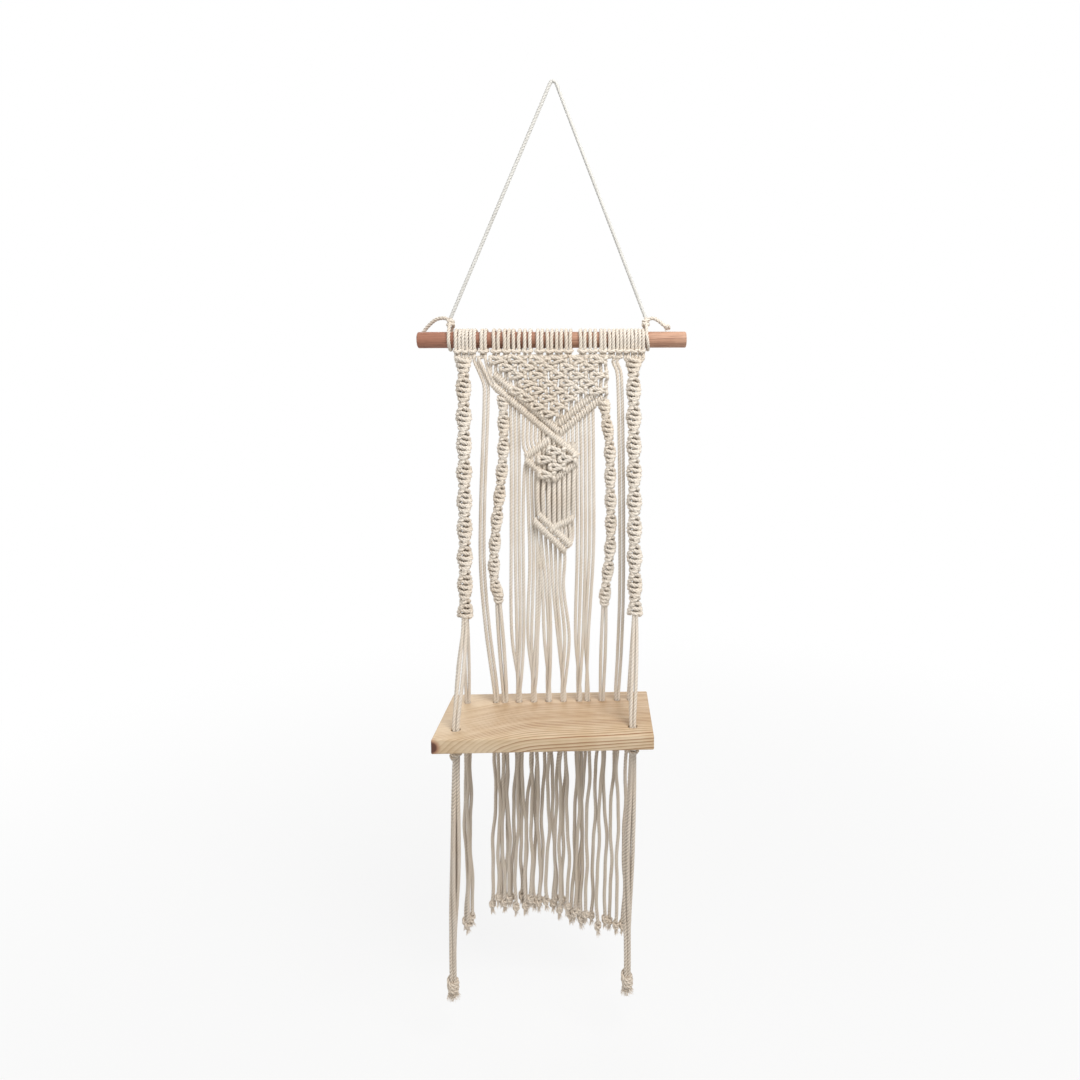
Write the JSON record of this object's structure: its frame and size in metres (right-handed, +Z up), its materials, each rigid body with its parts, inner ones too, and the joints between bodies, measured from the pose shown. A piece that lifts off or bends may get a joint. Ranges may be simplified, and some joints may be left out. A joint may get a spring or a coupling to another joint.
{
  "type": "hanging rope shelf",
  "caption": "Pine board hung by knotted cotton cords from a wooden dowel, with an openwork knotted panel, spiral cord sides and a knotted fringe; hangs on a wall by its cord.",
  "frame": {"origin": "the hang point: the underside of the hanging cord where it bends over its wall fixing", "axes": "+X to the right as seen from the front, +Y towards the wall, +Z up"},
  "size_m": [0.3021, 0.12, 0.983],
  "materials": {
    "stained_wood": "reddish brown stain, satin, with fine lengthwise grain",
    "pine": "bare planed pine, matte, with cathedral grain and one dark knot",
    "cotton_cord": "natural three-ply twisted cotton, matte and slightly fuzzy"
  },
  "bodies": {
    "hanger": {"dowel": "stained_wood", "hanging_cord": "cotton_cord", "left_hanging_knot": "cotton_cord", "right_hanging_knot": "cotton_cord"},
    "panel": {"left_outer_hitches": "cotton_cord", "left_inner_hitches": "cotton_cord", "centre_hitches": "cotton_cord", "right_inner_hitches": "cotton_cord", "right_outer_hitches": "cotton_cord", "left_outer_sinnet": "cotton_cord", "right_outer_sinnet": "cotton_cord", "left_inner_sinnet": "cotton_cord", "right_inner_sinnet": "cotton_cord", "left_straight_pair": "cotton_cord", "right_straight_pair": "cotton_cord", "knotted_panel": "cotton_cord", "upper_left_band": "cotton_cord", "long_band": "cotton_cord", "right_bands": "cotton_cord", "leaf": "cotton_cord", "panel_cords_1": "cotton_cord", "panel_cords_2": "cotton_cord", "panel_cords_3": "cotton_cord", "panel_cords_4": "cotton_cord", "panel_cords_5": "cotton_cord", "panel_cords_6": "cotton_cord", "left_front_cords": "cotton_cord", "left_rear_cords": "cotton_cord", "right_front_cords": "cotton_cord", "right_rear_cords": "cotton_cord"},
    "board": {"board": "pine", "rear_stopper_01": "cotton_cord", "rear_stopper_02": "cotton_cord", "rear_stopper_03": "cotton_cord", "rear_stopper_04": "cotton_cord", "rear_stopper_05": "cotton_cord", "rear_stopper_06": "cotton_cord", "rear_stopper_07": "cotton_cord", "rear_stopper_08": "cotton_cord", "rear_stopper_09": "cotton_cord", "rear_stopper_10": "cotton_cord", "rear_stopper_11": "cotton_cord", "rear_stopper_12": "cotton_cord", "front_stopper_left": "cotton_cord", "front_stopper_right": "cotton_cord"},
    "rear_fringe": {"rear_fringe_01": "cotton_cord", "rear_fringe_02": "cotton_cord", "rear_fringe_03": "cotton_cord", "rear_fringe_04": "cotton_cord", "rear_fringe_05": "cotton_cord", "rear_fringe_06": "cotton_cord", "rear_fringe_07": "cotton_cord", "rear_fringe_08": "cotton_cord", "rear_fringe_09": "cotton_cord", "rear_fringe_10": "cotton_cord", "rear_fringe_11": "cotton_cord", "rear_fringe_12": "cotton_cord"},
    "front_tassels": {"front_tassel_left": "cotton_cord", "front_tassel_right": "cotton_cord"}
  },
  "joints": [
    {"name": "panel_swing", "type": "hinge", "parent": "hanger", "child": "panel", "pos_m": [0, 0, -0.282], "axis": [-1, 0, 0], "range_deg": [0, 30]},
    {"name": "board_fold", "type": "hinge", "parent": "panel", "child": "board", "pos_m": [0, -0.004, -0.695], "axis": [-1, 0, 0], "range_deg": [0, 70], "deforming": ["left_front_cords", "right_front_cords"]},
    {"name": "rear_fringe_hang", "type": "hinge", "parent": "board", "child": "rear_fringe", "pos_m": [0, 0, -0.7145], "axis": [-1, 0, 0], "range_deg": [-70, 0]},
    {"name": "front_tassel_hang", "type": "hinge", "parent": "board", "child": "front_tassels", "pos_m": [0, -0.072, -0.7145], "axis": [-1, 0, 0], "range_deg": [-70, 0]}
  ],
  "couplings": [
    {"joint": "rear_fringe_hang", "follows": "board_fold", "ratio": -1},
    {"joint": "front_tassel_hang", "follows": "board_fold", "ratio": -1}
  ]
}
